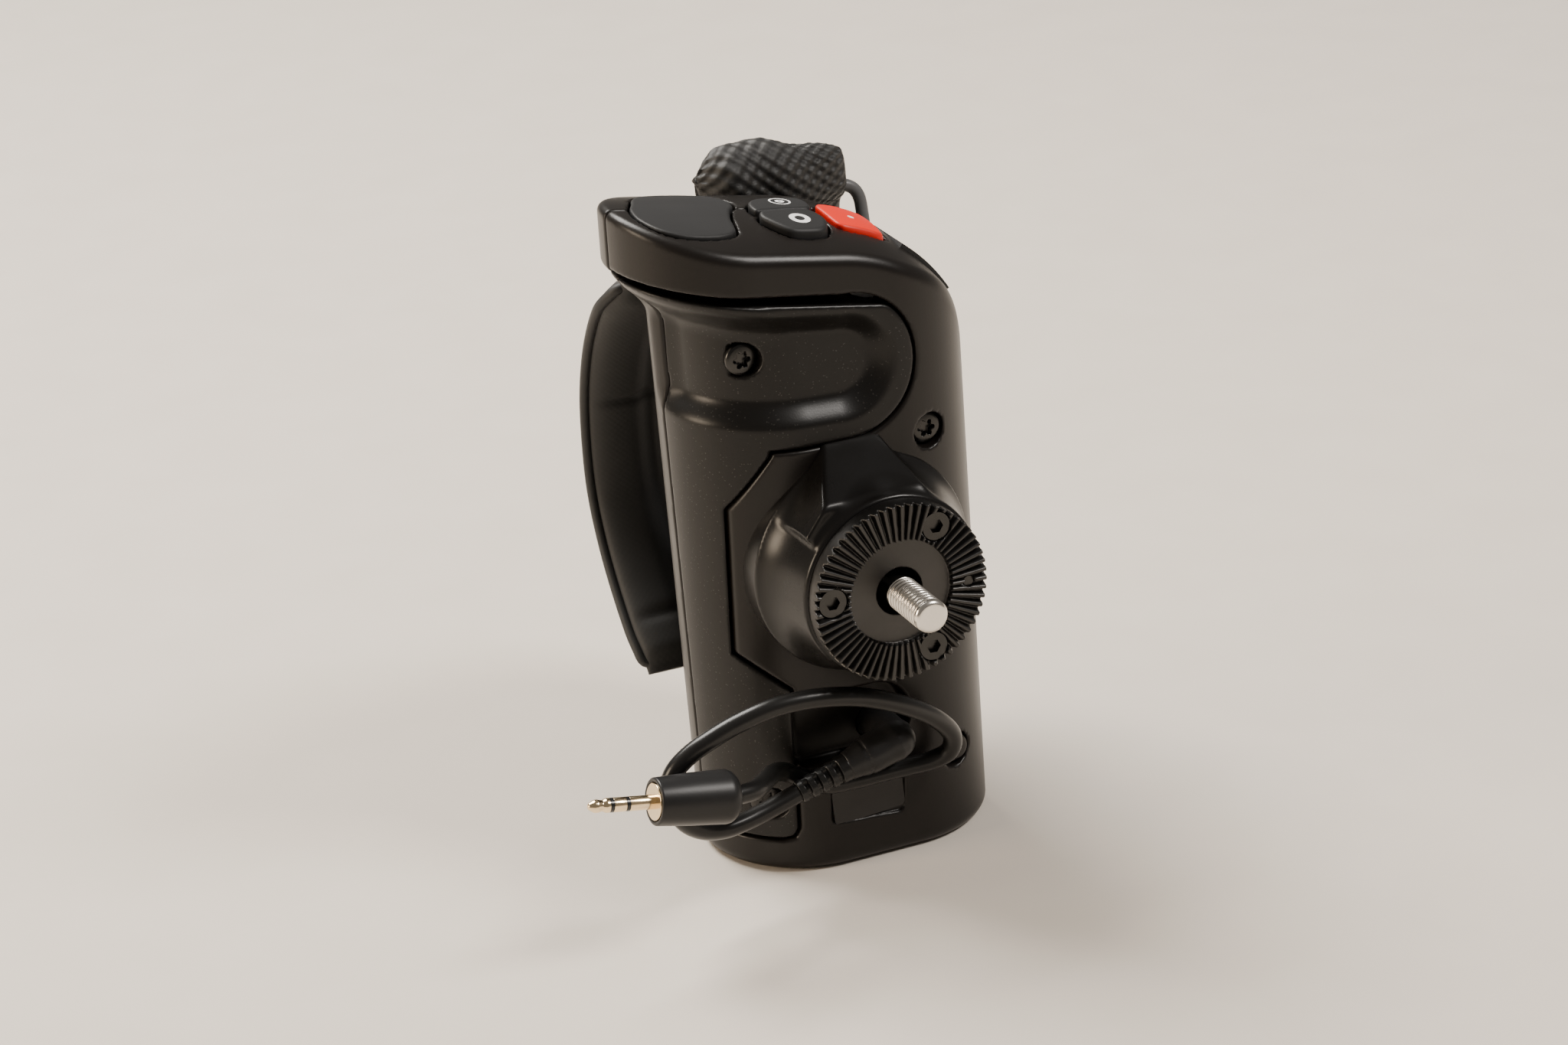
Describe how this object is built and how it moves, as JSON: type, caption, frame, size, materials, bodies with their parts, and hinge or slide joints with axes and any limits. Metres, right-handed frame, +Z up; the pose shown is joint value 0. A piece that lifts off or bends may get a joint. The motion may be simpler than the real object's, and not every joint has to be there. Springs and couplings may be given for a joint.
{
  "type": "camera side hand grip",
  "caption": "Moulded side hand grip with toothed rosette and captive bolt, zoom rocker, record and function keys, short remote lead with jack, and padded hand strap.",
  "frame": {"origin": "centre of the flat base of the grip body", "axes": "+Z up the grip towards the keys, -Y out of the toothed rosette, -X towards the fingers"},
  "size_m": [0.0875, 0.0973, 0.1222],
  "materials": {
    "shell_plastic": "fine sand-textured moulding, black",
    "panel_soft": "soft-touch matt, black, fine sparkle",
    "boss_plastic": "satin moulding, black",
    "black_anodised": "black anodised, bright on the tooth edges",
    "black_screw": "black oxide",
    "nickel": "nickel-plated steel, satin",
    "steel": "plain bright steel",
    "plate_alu": "clear anodised",
    "key_rubber": "matt, dark grey, white ring marks",
    "record_red": "satin, bright red-orange",
    "label_film": "satin film with a thin double border",
    "board_green": "solder mask",
    "switch_grey": "satin",
    "flex_amber": "polyimide film",
    "lead_black": "smooth, satin",
    "plug_grey": "satin moulded",
    "gold": "gold-plated, polished",
    "insulator_black": "smooth",
    "ring_grey": "satin grey coating on wire",
    "webbing_black": "coarse plain weave",
    "pad_black": "smooth padded fabric, bound edges"
  },
  "bodies": {
    "grip": {"front_shell": "shell_plastic", "rear_shell": "shell_plastic", "grip_panel": "panel_soft", "boss_block": "boss_plastic", "rosette_ring": "black_anodised", "rosette_screws": "black_screw", "locating_pin": "steel", "chassis_plate": "plate_alu", "chassis_screws": "steel", "shell_screws": "black_screw", "panel_screws": "black_screw", "label_plate": "label_film", "thumb_rest": "key_rubber", "rocker_pin": "steel", "rocker_cradle": "switch_grey", "rocker_spring": "steel", "zoom_sensor": "switch_grey", "record_switch": "switch_grey", "focus_switch": "switch_grey", "iris_switch": "switch_grey", "key_board": "board_green", "key_board_screws": "steel", "ribbon_cable": "flex_amber", "socket_board": "board_green", "remote_socket": "insulator_black", "elbow_plug": "plug_grey", "elbow_contact": "gold", "strain_relief": "lead_black", "remote_lead": "lead_black", "jack_housing": "plug_grey", "jack_washer": "gold", "jack_sleeve": "gold", "jack_ring": "gold", "jack_tip": "gold", "jack_insulators": "insulator_black", "top_webbing": "webbing_black", "low_webbing": "webbing_black", "strap_pad": "pad_black", "strap_flap": "webbing_black"},
    "bolt_slide": {"fixing_washer": "steel"},
    "bolt": {"fixing_screw": "nickel", "retaining_ring": "steel"},
    "rocker": {"zoom_rocker": "key_rubber"},
    "record_key": {"record_button": "record_red"},
    "focus_key": {"focus_button": "key_rubber"},
    "iris_key": {"iris_button": "key_rubber"},
    "top_ring": {"top_strap_ring": "ring_grey"},
    "low_ring": {"low_strap_ring": "ring_grey"}
  },
  "joints": [
    {"name": "bolt_push_back", "type": "slide", "parent": "grip", "child": "bolt_slide", "axis": [0, 1, 0], "range_m": [0, 0.004]},
    {"name": "bolt_turn", "type": "hinge", "parent": "bolt_slide", "child": "bolt", "pos_m": [-0.002, 0, 0.0575], "axis": [0, 1, 0], "continuous": true},
    {"name": "zoom_rock", "type": "hinge", "parent": "grip", "child": "rocker", "pos_m": [-0.02419, -0.001, 0.11599], "axis": [0.9842, 0, -0.1771], "range_deg": [-5, 5], "stiffness_Nm_per_rad": 0.08},
    {"name": "record_press", "type": "slide", "parent": "grip", "child": "record_key", "axis": [-0.3976, 0, -0.9175], "range_m": [0, 0.0008], "stiffness_N_per_m": 1200, "springref_m": -0.0008},
    {"name": "focus_press", "type": "slide", "parent": "grip", "child": "focus_key", "axis": [-0.1771, 0, -0.9842], "range_m": [0, 0.0008], "stiffness_N_per_m": 1200, "springref_m": -0.0008},
    {"name": "iris_press", "type": "slide", "parent": "grip", "child": "iris_key", "axis": [-0.1771, 0, -0.9842], "range_m": [0, 0.0008], "stiffness_N_per_m": 1200, "springref_m": -0.0008},
    {"name": "top_ring_swing", "type": "hinge", "parent": "grip", "child": "top_ring", "pos_m": [0.0057, 0.0218, 0.0985], "axis": [1, 0, 0], "range_deg": [-5, 5]},
    {"name": "low_ring_swing", "type": "hinge", "parent": "grip", "child": "low_ring", "pos_m": [0.0057, 0.0218, 0.0085], "axis": [1, 0, 0], "range_deg": [-5, 5]}
  ]
}
